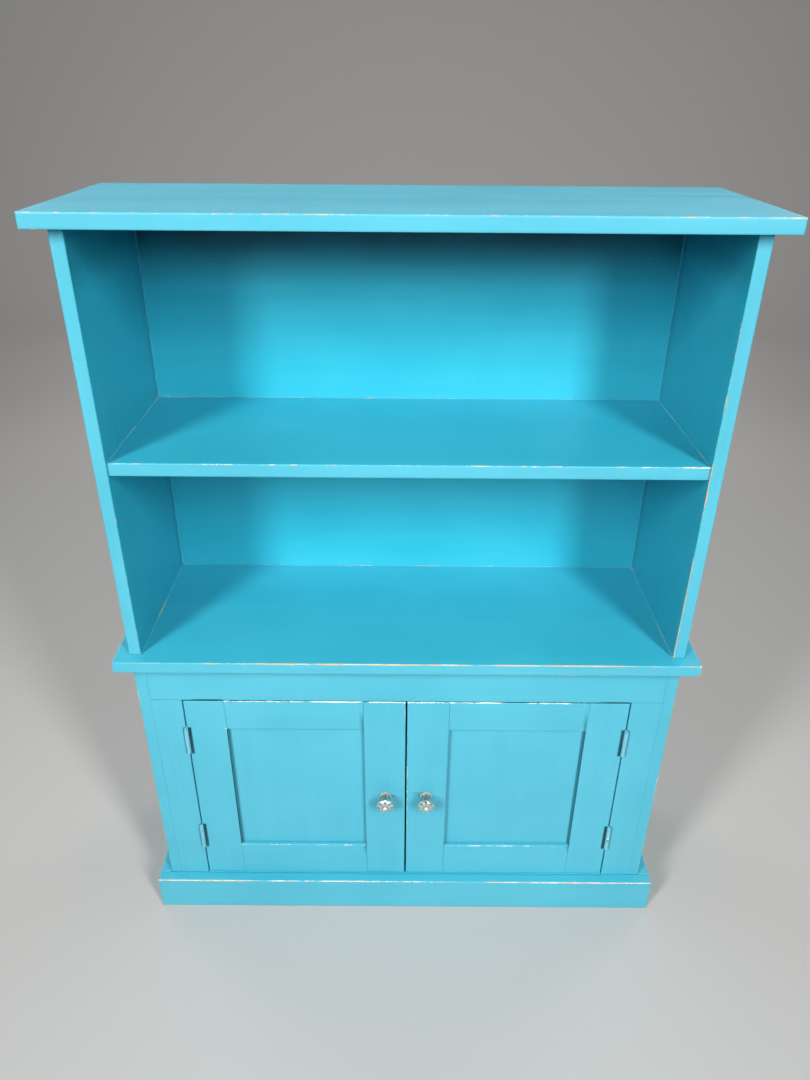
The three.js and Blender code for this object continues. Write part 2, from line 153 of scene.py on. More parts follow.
def slice_board(bm, lo, hi, grain, dents, cuts):
    """Slices a board finely enough for its wear, with extra slices at its dents and at the cuts."""
    for axis in range(3):
        normal = Vector([float(axis == i) for i in range(3)])
        size = hi[axis] - lo[axis]
        places = {lo[axis] + NEAR_EDGE, hi[axis] - NEAR_EDGE}
        step = EDGE_STEP if axis == grain else CROSS_STEP
        if size > step * LEAST_STEPS:
            count = int(size / step)
            places |= {lo[axis] + size * i / count for i in range(1, count)}
        for centre, radius, *_ in dents:
            places |= {centre[axis] + radius * k / 2 for k in range(-2, 3)}
        places |= set(cuts.get(axis, ()))
        for place in sorted(places):
            if lo[axis] + SLICE_MARGIN < place < hi[axis] - SLICE_MARGIN:
                slice_at(bm, normal * place, normal, dist=WELD)


def level_at(level, share):
    """A wear level, or its value at a share of the edge's length where it is a list of (share, level)."""
    if isinstance(level, (int, float)):
        return level
    return float(np.interp(share, [p for p, _ in level], [v for _, v in level]))


def mesh_piece(name, bm, material, **values):
    """A piece from bm, with each value as an attribute that its material may read."""
    mesh = bpy.data.meshes.new(name)
    bm.to_mesh(mesh)
    bm.free()
    for word in ("wear", "tone", "fade", "soil"):
        value = values.get(word, 0.0)
        numbers = np.ones(len(mesh.vertices), np.float32) * value
        attribute = mesh.attributes.new(word, "FLOAT", "POINT")
        attribute.data.foreach_set("value", numbers.astype(np.float32))
    mesh.polygons.foreach_set("use_smooth", np.ones(len(mesh.polygons), bool))
    mesh.set_sharp_from_angle(angle=SMOOTH_ANGLE)
    mesh.materials.append(material)
    piece = bpy.data.objects.new(name, mesh)
    bpy.context.scene.collection.objects.link(piece)
    return piece


def facing(normals, key):
    """How squarely each normal points along a key such as +x."""
    sign = 1 if key[0] == "+" else -1
    return np.clip(sign * normals[:, AXES.index(key[1])] * 2 - 1, 0, 1)


def inside(places, lo, hi, reach):
    """1 in the box from lo to hi, falling to 0 at reach outside it."""
    away = np.maximum(np.maximum(np.array(lo) - places, places - np.array(hi)), 0)
    return np.clip(1 - np.linalg.norm(away, axis=1) / reach, 0, 1)


def board(
    node,
    grain,
    worn=None,
    tone=0.5,
    fade=0.0,
    front=None,
    dust=None,
    ease=BOARD_EASE,
    tight=(),
    dents=(),
    soil=None,
    cuts=None,
):
    """A CAD board with eased, worn edges, a slightly uneven surface and the paint that goes with its grain.
    worn and tight name edges as sign_key does; a tight edge butts a neighbour and stays sharp.
    fade is how chalky the paint is, front the same for faces that look ahead and dust for those looking up,
    where the paler paint is partly a painted sheen.
    A dent is (centre, radius, depth, wear). soil gives how darkly painted shade and dirt cover each place,
    and cuts names by axis the extra slices where that changes quickly."""
    worn = worn or {}
    front = fade if front is None else front
    dust = fade if dust is None else dust
    grain = AXES.index(grain)
    lo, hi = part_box(node)
    bm = copied(node)
    corners = long_corners(bm)
    edges = []
    for e in corners:
        n1, n2 = (f.normal.copy() for f in e.link_faces)
        edges.append((e.verts[0].co.copy(), e.verts[1].co.copy(), n1, n2))
    ease_edges(bm, corners, ease)
    slice_board(bm, lo, hi, grain, dents, cuts or {})
    bm.verts.ensure_lookup_table()
    bm.normal_update()
    co = np.array([v.co for v in bm.verts])
    normals = np.array([v.normal for v in bm.verts])
    seed = float(sum(map(ord, node)) % SEEDS)
    wear = np.zeros(len(co))
    shift = np.zeros_like(co)
    for a, b, n1, n2 in edges:
        a, b = np.array(a), np.array(b)
        along = b - a
        length = np.linalg.norm(along)
        axis = int(np.argmax(np.abs(along)))
        t = np.clip((co - a) @ along / length**2, 0, 1)
        away = np.linalg.norm(co - (a + t[:, None] * along), axis=1)
        key = sign_key(n1, n2)
        level = worn.get(key, FALLBACK_WEAR)
        inward = -(np.array(n1) + np.array(n2)) / math.sqrt(2)
        if key in tight:
            nearest = a + t[:, None] * along + inward * TIGHT_EASE
            middle = (away < ease * TIGHT_SPAN)[:, None]
            shift = np.where(middle, nearest - co, shift)
        for i in np.flatnonzero(away < WEAR_REACH):
            place = co[i][axis]
            share = (place - lo[axis]) / (hi[axis] - lo[axis])
            rub = sum(
                weight * noise.noise(Vector((place * waves, seed, axis * offset)))
                for waves, offset, weight in RUB_WAVES
            )
            strength = level_at(level, share) * (1 + RUB_STRENGTH * rub)
            wear[i] = max(wear[i], strength * (1 - away[i] / WEAR_REACH))
            if away[i] < ease * CUT_SPAN and key not in tight:
                cut = WORN_DEPTH * max(0.0, strength) * (1 - away[i] / (ease * CUT_FADE))
                if cut > np.linalg.norm(shift[i]):
                    shift[i] = inward * cut
    for i, p in enumerate(co):
        wave = 0.5 + 0.5 * noise.noise(Vector(p) * WAVES_PER_METRE + Vector((seed, 0, 0)))
        shift[i] -= normals[i] * SURFACE_WAVE * wave
    for centre, radius, depth, level in dents:
        centre = np.array(centre)
        middle = np.array((lo + hi) / 2)
        inward = middle - centre
        inward[grain] *= DENT_ALONG_GRAIN
        inward /= np.linalg.norm(inward)
        away = np.linalg.norm(co - centre, axis=1)
        bite = np.clip(1 - away / radius, 0, 1)
        shift += inward * (bite**DENT_CURVE * depth)[:, None]
        wear = np.maximum(wear, level * np.clip(DENT_WORN - away / radius, 0, 1))
    moved = np.clip(co + shift, np.array(lo), np.array(hi))
    for v, p in zip(bm.verts, moved):
        v.co = p
    # Paler, chalky paint on faces that look up and ahead, partly a painted sheen.
    facing_up = np.clip((normals[:, 2] - UP_FROM) / UP_SPAN, 0, 1)
    facing_front = np.clip((-normals[:, 1] - AHEAD_FROM) / AHEAD_SPAN, 0, 1)
    piece = mesh_piece(
        node + "_painted",
        bm,
        PAINT[AXES[grain]],
        tone=tone,
        wear=np.clip(wear, 0, MOST_WEAR),
        fade=fade + (dust - fade) * facing_up + (front - fade) * facing_front,
        soil=soil(co, normals) if soil else 0.0,
    )
    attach(piece, frame["nodes"][node]["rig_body"])
    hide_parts(node)


# ---- Materials ----
PAINT_DEEP = (0.026, 0.420, 0.560, 1)
PAINT_LIGHT = (0.040, 0.475, 0.615, 1)
# Chalky paint, which on faces that look ahead and up stands partly for a painted sheen.
CHALK_AND_SHEEN_DEEP = (0.135, 0.405, 0.520, 1)
CHALK_AND_SHEEN_LIGHT = (0.165, 0.455, 0.575, 1)
PRIMER = (0.78, 0.80, 0.74, 1)
TAN_WOOD = (0.60, 0.40, 0.21, 1)
SPECK = (0.02, 0.10, 0.12, 1)
# The dark of painted shade and of dirt, that soil mixes into the paint.
SHADE_AND_DIRT = (0.003, 0.060, 0.080, 1)
HINGE_DEEP = (0.130, 0.450, 0.570, 1)
HINGE_LIGHT = (0.215, 0.550, 0.670, 1)
# Noise scales, per metre, along the grain and across it or in every direction.
STROKES_ALONG, STROKES_ACROSS = 5, 170
BANDS_ALONG, BANDS_ACROSS = 1.6, 26
CHIPS_ALONG, CHIPS_ACROSS = 70, 420
BLOTCHES, PATCHES, SPECKS, CRUMBS, GRIT = 5.5, 7.5, 85, 260, 900
SCRATCHES, SCRATCH_TURN = (260, 9, 260), (0.4, 0.5, 0.9)
TURNING_MARKS, STAINS = (900, 200, 900), 300
GLASS_WAVES, GLASS_CLOUDS = 210, 120
# How far strokes, bands and blotches shade the paint, and the sums where it is deepest and lightest.
STROKE_SHADE, BAND_SHADE, BLOTCH_SHADE = 0.32, 0.45, 0.85
DEEP_SUM, LIGHT_SUM = 0.52, 1.12
CHIP_SPREAD, CRUMB_SPREAD = 1.1, 0.7  # how unevenly wear breaks through the paint
BARE_FROM, BARE_TO = 0.52, 0.64  # wear at which the paint starts to go and is gone
UNDER_SPREAD = 1.6  # how unevenly primer gives way to wood
SCRATCH_SHOWN, SPECK_SHOWN = 0.3, 0.5
PAINT_ROUGHNESS = (0.30, 0.42)
BARE_ROUGHER, CHALK_ROUGHER = 0.35, 0.22
STROKE_HEIGHT, GRIT_HEIGHT, BARE_DEPTH = 0.8, 0.12, 0.9
PAINT_BUMP = {"Strength": 0.25, "Distance": 0.25 * MM}
STEEL_BUMP = {"Strength": 0.3, "Distance": 0.05 * MM}
GLASS_BUMP = {"Strength": 0.2, "Distance": 0.2 * MM}
PAINT_IOR, GLASS_IOR = 1.45, 1.52
GLASS_BRIGHT = (0.92, 0.98, 0.95, 1)
GLASS_DULL = (0.84, 0.94, 0.90, 1)
# Painted shade on the knob's facets.
GLASS_PAINTED_SHADE = (0.20, 0.30, 0.28, 1)
# A painted peach glint near the door.
PAINTED_PEACH_GLINT = (0.90, 0.62, 0.42, 1)
GLASS_TRANSMISSION = 0.55
# Sockets of Blender's colour mix node.
MIX_SHARE, MIX_A, MIX_B, MIX_RESULT = 0, 6, 7, 2


class Nodes:
    """Builds one material's node tree."""

    def __init__(self, name):
        self.material = bpy.data.materials.new(name)
        self.material.use_nodes = True
        self.tree = self.material.node_tree
        self.tree.nodes.clear()

    def add(self, kind, inputs=None, **settings):
        node = self.tree.nodes.new(kind)
        for key, value in settings.items():
            setattr(node, key, value)
        for key, value in (inputs or {}).items():
            if isinstance(value, bpy.types.NodeSocket):
                self.tree.links.new(value, node.inputs[key])
            else:
                node.inputs[key].default_value = value
        return node

    def math(self, operation, a, b=0.0, clamp=False):
        node = self.add("ShaderNodeMath", {0: a, 1: b}, operation=operation)
        node.use_clamp = clamp
        return node.outputs[0]

    def noise(self, vector, scale, detail=2.0, roughness=0.5):
        inputs = {"Vector": vector, "Scale": scale, "Detail": detail}
        inputs["Roughness"] = roughness
        return self.add("ShaderNodeTexNoise", inputs).outputs["Fac"]

    def scaled(self, vector, scale, turn=(0, 0, 0)):
        inputs = {"Vector": vector, "Scale": scale, "Rotation": turn}
        return self.add("ShaderNodeMapping", inputs).outputs[0]

    def ramp(self, value, low, high, to_low=0.0, to_high=1.0):
        inputs = {"Value": value, "From Min": low, "From Max": high}
        inputs.update({"To Min": to_low, "To Max": to_high})
        node = self.add("ShaderNodeMapRange", inputs, interpolation_type="SMOOTHSTEP")
        return node.outputs[0]

    def mix(self, share, a, b):
        inputs = {MIX_SHARE: share, MIX_A: a, MIX_B: b}
        return self.add("ShaderNodeMix", inputs, data_type="RGBA").outputs[MIX_RESULT]

    def place(self):
        return self.add("ShaderNodeTexCoord").outputs["Object"]

    def value(self, word):
        """The piece's attribute of that name."""
        return self.add("ShaderNodeAttribute", attribute_name=word).outputs["Fac"]

    def total(self, *parts):
        """The weighted sum of (value, weight) parts."""
        found = 0.0
        for value, weight in parts:
            found = self.math("ADD", found, self.math("MULTIPLY", value, weight))
        return found

    def roughened(self, value, grain, spread):
        """The value, with noise added around it."""
        noise_part = self.math("MULTIPLY", self.math("SUBTRACT", grain, 0.5), spread)
        return self.math("ADD", value, noise_part)

    def bump(self, height, settings):
        return self.add("ShaderNodeBump", {**settings, "Height": height}).outputs[0]

    def finish(self, inputs):
        shader = self.add("ShaderNodeBsdfPrincipled", inputs)
        output = self.add("ShaderNodeOutputMaterial")
        self.tree.links.new(shader.outputs[0], output.inputs["Surface"])
        return self.material


def paint(name, axis, deep=PAINT_DEEP, light=PAINT_LIGHT):
    """Satin paint brushed along one axis, over primer and tan wood.
    The wear attribute bares what is under the paint, tone turns primer into wood, fade makes the paint
    chalky, on faces that look ahead and up partly as a painted sheen, and soil darkens it with painted
    shade and a little dirt."""
    n = Nodes(name)
    place = n.place()
    wear, tone, fade, soil = (n.value(word) for word in ("wear", "tone", "fade", "soil"))
    fine = [STROKES_ACROSS] * 3
    broad = [BANDS_ACROSS] * 3
    rub = [CHIPS_ACROSS] * 3
    fine[axis], broad[axis], rub[axis] = STROKES_ALONG, BANDS_ALONG, CHIPS_ALONG
    strokes = n.noise(n.scaled(place, fine), 1, 4, 0.6)
    bands = n.noise(n.scaled(place, broad), 1, 3, 0.55)
    blotches = n.noise(place, BLOTCHES, 3)
    grit = n.noise(place, GRIT, 2)
    shade = n.total((strokes, STROKE_SHADE), (bands, BAND_SHADE), (blotches, BLOTCH_SHADE))
    shade = n.ramp(shade, DEEP_SUM, LIGHT_SUM)
    chalk_and_sheen = n.mix(shade, CHALK_AND_SHEEN_DEEP, CHALK_AND_SHEEN_LIGHT)
    colour = n.mix(fade, n.mix(shade, deep, light), chalk_and_sheen)
    uneven = n.ramp(blotches, 0.3, 0.7, 0.85, 1.1)
    # Painted shade and dirt: soil darkens the paint, unevenly with the blotches.
    colour = n.mix(n.math("MULTIPLY", soil, uneven, clamp=True), colour, SHADE_AND_DIRT)
    chips = n.noise(n.scaled(place, rub), 1, 3, 0.6)
    crumbs = n.noise(place, CRUMBS, 3, 0.6)
    bare = n.roughened(n.roughened(wear, chips, CHIP_SPREAD), crumbs, CRUMB_SPREAD)
    bare = n.ramp(bare, BARE_FROM, BARE_TO)
    under = n.roughened(tone, chips, UNDER_SPREAD)
    under = n.mix(n.ramp(under, 0.25, 0.75), PRIMER, TAN_WOOD)
    colour = n.mix(bare, colour, under)
    scratch = n.noise(n.scaled(place, SCRATCHES, SCRATCH_TURN), 1, 2)
    patch = n.noise(place, PATCHES, 1)
    scratch = n.math("MULTIPLY", n.ramp(scratch, 0.735, 0.78), n.ramp(patch, 0.55, 0.68))
    colour = n.mix(n.math("MULTIPLY", scratch, SCRATCH_SHOWN), colour, PRIMER)
    specks = n.ramp(n.noise(place, SPECKS, 1), 0.83, 0.86)
    colour = n.mix(n.math("MULTIPLY", specks, SPECK_SHOWN), colour, SPECK)
    rough = n.ramp(bands, 0.3, 0.75, *PAINT_ROUGHNESS)
    rough = n.math("ADD", rough, n.math("MULTIPLY", bare, BARE_ROUGHER))
    rough = n.math("ADD", rough, n.math("MULTIPLY", fade, CHALK_ROUGHER))
    height = n.total((strokes, STROKE_HEIGHT), (grit, GRIT_HEIGHT), (bare, -BARE_DEPTH))
    inputs = {"Base Color": colour, "Roughness": rough, "IOR": PAINT_IOR}
    inputs["Normal"] = n.bump(height, PAINT_BUMP)
    return n.finish(inputs)


def steel(name, bright, dull, smooth, rough, metallic=1.0):
    """Plated metal with fine turning marks, from bright to dull and from smooth to rough."""
    n = Nodes(name)
    place = n.place()
    marks = n.noise(n.scaled(place, TURNING_MARKS), 1, 3)
    stain = n.noise(place, STAINS, 3)
    colour = n.mix(n.ramp(stain, 0.4, 0.7), bright, dull)
    inputs = {"Base Color": colour, "Metallic": metallic, "Normal": n.bump(marks, STEEL_BUMP)}
    inputs["Roughness"] = n.ramp(marks, 0.3, 0.7, smooth, rough)
    return n.finish(inputs)


def glass(name):
    """Old pressed glass, slightly wavy, with painted grey-green shade where tone is high and a painted
    peach glint where fade is.
    """
    n = Nodes(name)
    place = n.place()
    waves = n.noise(place, GLASS_WAVES, 2)
    cloud = n.noise(place, GLASS_CLOUDS, 2)
    colour = n.mix(n.ramp(cloud, 0.35, 0.7), GLASS_BRIGHT, GLASS_DULL)
    colour = n.mix(n.ramp(n.value("tone"), 0.15, 0.85), colour, GLASS_PAINTED_SHADE)
    colour = n.mix(n.value("fade"), colour, PAINTED_PEACH_GLINT)
    inputs = {
        "Base Color": colour,
        "Roughness": n.ramp(cloud, 0.3, 0.8, 0.02, 0.08),
        "IOR": GLASS_IOR,
        "Transmission Weight": GLASS_TRANSMISSION,
        "Normal": n.bump(waves, GLASS_BUMP),
    }
    return n.finish(inputs)


PAINT = {a: paint("brushed_paint_along_" + a, i) for i, a in enumerate(AXES)}
PAINT["hinge"] = paint("paint_on_hinges", 2, HINGE_DEEP, HINGE_LIGHT)
STEEL = steel("zinc_steel", (0.62, 0.61, 0.58, 1), (0.38, 0.35, 0.31, 1), 0.28, 0.5)
NICKEL = steel("polished_nickel", (0.94, 0.94, 0.92, 1), (0.84, 0.83, 0.81, 1), 0.32, 0.45, 0.5)
GLASS = glass("pressed_glass")

# ---- Boards of the carcass ----
# How chalky the faces that look ahead are; there the paler paint is partly a painted sheen.
FACE_CHALK_AND_SHEEN = 0.4
# Painted shade on the uprights' inner faces.
INNER_SHADE = 0.26
ROOF_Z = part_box("top_board")[0].z
# The top board's painted shadow in the upper bay: full down to the first depth below the board, gone at the
# second.
ROOF_SHADOW_FULL, ROOF_SHADOW_NONE = 46 * MM, 124 * MM  # below the top board
ROOF_SHADOW_CURVE = 1.3
# How much of that painted shadow the uprights' inner faces take.
SIDE_ROOF_SHADOW = 0.6


def roof_shadow(places):
    """Painted shadow of the top board, high in the upper bay."""
    below = (ROOF_Z - places[:, 2] - ROOF_SHADOW_FULL) / (ROOF_SHADOW_NONE - ROOF_SHADOW_FULL)
    return np.clip(1 - below, 0, 1) ** ROOF_SHADOW_CURVE


def side_shade(inner):
    """The soil function of an upright whose inner face points along inner: painted shade on that face,
    deeper under the top board.
    """
    return lambda co, normals: np.maximum(INNER_SHADE, SIDE_ROOF_SHADOW * roof_shadow(co)) * facing(normals, inner)


# The top board's painted shadow on the back panel's front face.
def back_shadow(co, normals):
    return roof_shadow(co) * facing(normals, "-y")


board(
    "top_board",
    "x",
    {
        "-y+z": [(0, 0.55), (0.2, 0.5), (0.4, 0.62), (0.7, 0.55), (0.85, 0.5), (1, 0.8)],
        "-y-z": [(0, 0.6), (0.1, 0.3), (0.6, 0.35), (1, 0.4)],
        "+x-y": 0.8,
        "-x-y": 0.6,
    },
    tone=0.55,
    fade=0.2,
    front=FACE_CHALK_AND_SHEEN,
    dust=0.62,
)
for side, out, inner in (("left", "-x", "+x"), ("right", "+x", "-x")):
    rub = [(0, 0.55), (0.3, 0.4), (1, 0.3)]
    if side == "right":
        rub = [(0, 0.85), (0.3, 0.72), (0.5, 0.55), (0.75, 0.75), (0.85, 0.5), (1, 0.3)]
    joint = inner + "-y"
    board(
        "upper_side_" + side,
        "z",
        {joint: rub, out + "-y": 0.35, "-y-z": 0.7},
        tone=0.75,
        fade=0.02,
        front=FACE_CHALK_AND_SHEEN,
        soil=side_shade(inner),
    )
    looks = {"tone": 0.3, "fade": 0.15, "front": FACE_CHALK_AND_SHEEN, "tight": (joint,)}
    board("base_side_" + side, "z", {out + "-y": 0.5}, **looks)
shelf_worn = {
    "-y+z": [(0, 0.55), (0.25, 0.65), (0.35, 0.45), (0.6, 0.7), (0.8, 0.5), (1, 0.85)],
    "-y-z": 0.3,
}
board("middle_shelf", "x", shelf_worn, tone=0.45, fade=0.1, front=FACE_CHALK_AND_SHEEN, dust=0.05)
board("upper_back_panel", "x", tone=0.4, ease=PANEL_EASE, soil=back_shadow)
counter_lo, counter_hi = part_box("counter_top")
scuffed = Vector((counter_hi.x - 12 * MM, counter_lo.y + 9 * MM, counter_hi.z))
knocked_corner = (Vector((counter_hi.x, counter_lo.y, counter_hi.z)), 7 * MM, 1.5 * MM, 1.0)
far_corner = (Vector((counter_lo.x, counter_lo.y, counter_hi.z)), 5 * MM, 1.4 * MM, 0.6)
scuff = (scuffed, 14 * MM, 0, 0.44)
low_chip = (Vector((counter_hi.x - 2 * MM, counter_lo.y, counter_lo.z)), 6 * MM, 0.8 * MM, 0.9)
board(
    "counter_top",
    "x",
    {
        "-y+z": [(0, 0.4), (0.1, 0.5), (0.16, 0.85), (0.55, 1.1), (0.85, 0.95), (0.93, 0.55), (1, 0.8)],
        "-y-z": [(0, 0.3), (0.5, 0.5), (0.75, 0.75), (1, 0.45)],
        "+x-y": 0.9,
        "-x-y": 0.5,
        "+x+z": 0.35,
    },
    tone=0.7,
    fade=0.2,
    front=FACE_CHALK_AND_SHEEN,
    dust=0.08,
    dents=[knocked_corner, far_corner, scuff, low_chip],
)
board("base_back_panel", "x", tone=0.4, ease=PANEL_EASE)
board("base_bottom_board", "x", tone=0.4)
rail_lo, rail_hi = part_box("face_top_rail")

# Painted shade along the rail's lower edge, in the gap above the doors' hinged ends: where it starts and
# stops, its depth into the rail, its height and how far it takes to fade.
GAP_STRIPS = (
    (rail_lo.x + 72.2 * MM, rail_lo.x + 112.2 * MM),
    (rail_hi.x - 96.2 * MM, rail_hi.x - 55.2 * MM),
)
GAP_DEPTH, GAP_HEIGHT, GAP_EDGE = 2 * MM, 0.8 * MM, 2.2 * MM


def rail_gap_shade(co, normals):
    """Painted shade along the rail's lower edge where the doors' gap is widest."""
    found = np.zeros(len(co))
    for start, end in GAP_STRIPS:
        lo = (start, rail_lo.y, rail_lo.z)
        hi = (end, rail_lo.y + GAP_DEPTH, rail_lo.z + GAP_HEIGHT)
        found = np.maximum(found, inside(co, lo, hi, GAP_EDGE))
    return found


board(
    "face_top_rail",
    "x",
    {"-y-z": 0.3},
    tone=0.05,
    fade=FACE_CHALK_AND_SHEEN,
    tight=("-x-y", "+x-y"),
    soil=rail_gap_shade,
    cuts={2: [rail_lo.z + 1 * MM]},
)

# Painted shade around the hinge barrels, for the shadows beside them: how far it reaches from the pin's
# axis and how dark it is, on the frame and on the door, then how far past the pin's foot it goes and how
# far short of its top it stops.
FRAME_SHADE, DOOR_SHADE = (5.6 * MM, 0.5), (7.2 * MM, 0.9)
SHADE_BELOW, SHADE_SHORT = 3 * MM, 1 * MM
SHADE_EDGE = 1.0 * MM
# y well in front of the cabinet and at its middle, and z well above it.
AHEAD, MIDDLE, ABOVE = -1, 0, 2


def hinge_shade(side, reach, level):
    """The soil function of the painted shade beside one side's hinge barrels, and the extra slices of a
    board there.
    """
    pins = [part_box("hinge_" + side + "_" + end + "_pin") for end in ("top", "bottom")]
    boxes = []
    cuts = {0: set(), 2: set()}
    for lo, hi in pins:
        x = (lo.x + hi.x) / 2
        low, high = lo.z - SHADE_BELOW, hi.z - SHADE_SHORT
        boxes.append(((x - reach, AHEAD, low), (x + reach, MIDDLE, high)))
        cuts[0] |= {x + sign * (reach + off) for sign in (-1, 1) for off in (0, SHADE_EDGE)}
        cuts[2] |= {low, low - SHADE_EDGE, high, high + SHADE_EDGE}

    def soil(co, normals):
        spots = [inside(co, lo, hi, SHADE_EDGE) for lo, hi in boxes]
        return level * np.maximum(*spots) * facing(normals, "-y")

    return soil, cuts


for side, joint in (("left", "-x-y"), ("right", "+x-y")):
    soil, cuts = hinge_shade(side, *FRAME_SHADE)
    tight = (joint, "-y+z")
    board("face_stile_" + side, "z", tone=0.1, fade=FACE_CHALK_AND_SHEEN, tight=tight, soil=soil, cuts=cuts)
board("door_stop_batten", "x", tone=0.5)
plinth_line = [(0, 1.0), (0.45, 0.95), (0.6, 0.6), (0.8, 1.0), (1, 1.0)]
plinth_worn = {"-y+z": plinth_line, "-x-y": 0.4, "+x-y": 0.4}
plinth_lo, plinth_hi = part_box("plinth_front")
CHIP_SHARE = 0.845  # of the plinth's width, from its left end
chip_x = plinth_lo.x * (1 - CHIP_SHARE) + plinth_hi.x * CHIP_SHARE
plinth_chip = Vector((chip_x, plinth_lo.y, plinth_hi.z))
board(
    "plinth_front",
    "x",
    plinth_worn,
    tone=0.5,
    fade=FACE_CHALK_AND_SHEEN,
    dust=0.2,
    dents=[(plinth_chip, 5 * MM, 0.9 * MM, 0.85)],
)
for side, edge in (("left", "-x+z"), ("right", "+x+z")):
    board("plinth_side_" + side, "y", {edge: 0.4}, fade=FACE_CHALK_AND_SHEEN * 0.5)

# ---- Doors ----
# How dark the painted shade in the panel recess is against the outer and the inner stile.
RECESS_SHADE = {"left": (0.75, 0.4), "right": (0.7, 0.45)}
# How dark the painted shade on top of a door is, for the gap above it.
DOOR_TOP_SHADE = 0.85
# The strip of painted shadow on the panel beside the outer stile: its width, its fading edge and how dark
# it is.
STRIP_WIDTH, STRIP_EDGE, STRIP_SHADE = 2.4 * MM, 1.2 * MM, 0.45
TOP_LINES = {
    "left": [(0, 0.5), (0.12, 0.72), (0.2, 0.8), (1, 0.82)],
    "right": [(0, 0.82), (0.6, 0.78), (0.85, 0.6), (1, 0.4)],
}
BOTTOM_LINE = [(0, 0.75), (0.1, 0.5), (0.5, 0.6), (0.9, 0.5), (1, 0.75)]


def door_top_shade(co, normals):
    """Painted shade on top of a door, for the dark gap above it."""
    return DOOR_TOP_SHADE * facing(normals, "+z") ** 2


def recess_shade(level, key, around=None):
    """The soil function of a stile: painted shade on the recess face that key names, on the top, and around
    its hinges.
    """

    def soil(co, normals):
        found = level * facing(normals, key) + door_top_shade(co, normals)
        return found if around is None else found + around(co, normals)

    return soil


def strip_shade(strip):
    """The soil function of a panel, with painted shadow between the two x values of strip."""
    lo, hi = (min(strip), AHEAD, 0), (max(strip), MIDDLE, ABOVE)
    return lambda co, normals: STRIP_SHADE * inside(co, lo, hi, STRIP_EDGE) * facing(normals, "-y")


for side, near, far in (("left", "+x-y", "-x-y"), ("right", "-x-y", "+x-y")):
    door = "door_" + side + "_"
    looks = {"tone": 0.08, "fade": FACE_CHALK_AND_SHEEN}
    # Painted shade beside this door's hinge barrels.
    barrel_shade, cuts = hinge_shade(side, *DOOR_SHADE)
    outer_level, inner_level = RECESS_SHADE[side]
    panel_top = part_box(door + "top_rail")[0].z
    stile_lo, stile_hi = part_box(door + "outer_stile")
    corner_x, way = (stile_hi.x, 1) if side == "left" else (stile_lo.x, -1)
    chip = (Vector((corner_x, stile_lo.y, panel_top + 1 * MM)), 2.6 * MM, 0.6 * MM, 1.3)
    board(
        door + "outer_stile",
        "z",
        {"-y+z": 0.25, near: 0.3},
        tight=(near,),
        soil=recess_shade(outer_level, near[:2], barrel_shade),
        cuts=cuts,
        dents=[chip] if side == "left" else (),
        **looks,
    )
    inner_worn = {"-y+z": 0.82, near: 0.45, far: 0.3}
    soil = recess_shade(inner_level, far[:2])
    board(door + "inner_stile", "z", inner_worn, tight=(far,), soil=soil, **looks)
    ends = ("-x-y", "+x-y")
    top_worn = {"-y+z": TOP_LINES[side], "-y-z": 0.3}
    board(door + "top_rail", "x", top_worn, tight=ends, soil=door_top_shade, **looks)
    board(door + "bottom_rail", "x", {"-y+z": BOTTOM_LINE}, tight=ends, **looks)
    strip = (corner_x, corner_x + way * STRIP_WIDTH)
    cuts = {0: [strip[1], strip[1] + way * STRIP_EDGE]}
    board(door + "panel", "z", ease=PANEL_EASE, soil=strip_shade(strip), cuts=cuts, **looks)


# ---- Paint gathered in the inner corners ----
BEAD_STEP = 10 * MM
BEAD_SIZE = 1.15 * MM
BEAD_SINK = 0.2 * MM
BEAD_FRONT = 2 * MM  # behind the front edge of its bay
# Noise across the bead's size: (waves per metre, weight), how much it swells and its least share.
BEAD_WAVES, BEAD_SWELL, BEAD_LEAST = ((31, 1.0), (95, 0.6)), 0.55, 0.35
BEAD_TIP, BEAD_HOLLOW = -0.12, 0.36  # the section's tips sink into the boards and its middle is hollow
BEAD_WORN_WAVES, BEAD_WORN_SPREAD = 17, 0.8
BACK_WORN, FLOOR_WORN, CORNER_WORN = 0.38, 0.42, 0.2


def bar(rows):
    """A closed bar through rows of points, in the same order round each row."""
    bm = bmesh.new()
    rows = [[bm.verts.new(point) for point in row] for row in rows]
    count = len(rows[0])
    for one, two in zip(rows, rows[1:]):
        for k in range(count):
            after = (k + 1) % count
            bm.faces.new((one[k], one[after], two[after], two[k]))
    bm.faces.new(rows[0][::-1])
    bm.faces.new(rows[-1])
    bmesh.ops.recalc_face_normals(bm, faces=bm.faces)
    return bm


def steps_along(start, end, step):
    count = max(2, int((end - start).length / step))
    return [start.lerp(end, i / count) for i in range(count + 1)]


def bead(name, start, end, u, v, wear):
    """A thin uneven fillet of filler and paint from start to end, in the corner between u and v."""
    start, end, u, v = map(Vector, (start, end, u, v))
    rows = []
    for place in steps_along(start, end, BEAD_STEP):
        swell = sum(weight * noise.noise(place * waves) for waves, weight in BEAD_WAVES)
        size = BEAD_SIZE * max(BEAD_LEAST, 1 + BEAD_SWELL * swell)
        tip, hollow = BEAD_TIP * size, BEAD_HOLLOW * size
        section = [(-BEAD_SINK, -BEAD_SINK), (size, tip), (hollow, hollow), (tip, size)]
        rows.append([place + u * a + v * b for a, b in section])
    bm = bar(rows)
    worn = [1 + BEAD_WORN_SPREAD * noise.noise(p.co * BEAD_WORN_WAVES) for p in bm.verts]
    values = {"tone": 0.7, "fade": 0.25, "wear": wear * np.array(worn), "soil": 0.15}
    piece = mesh_piece(name, bm, PAINT["x"], **values)
    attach(piece, "carcass")


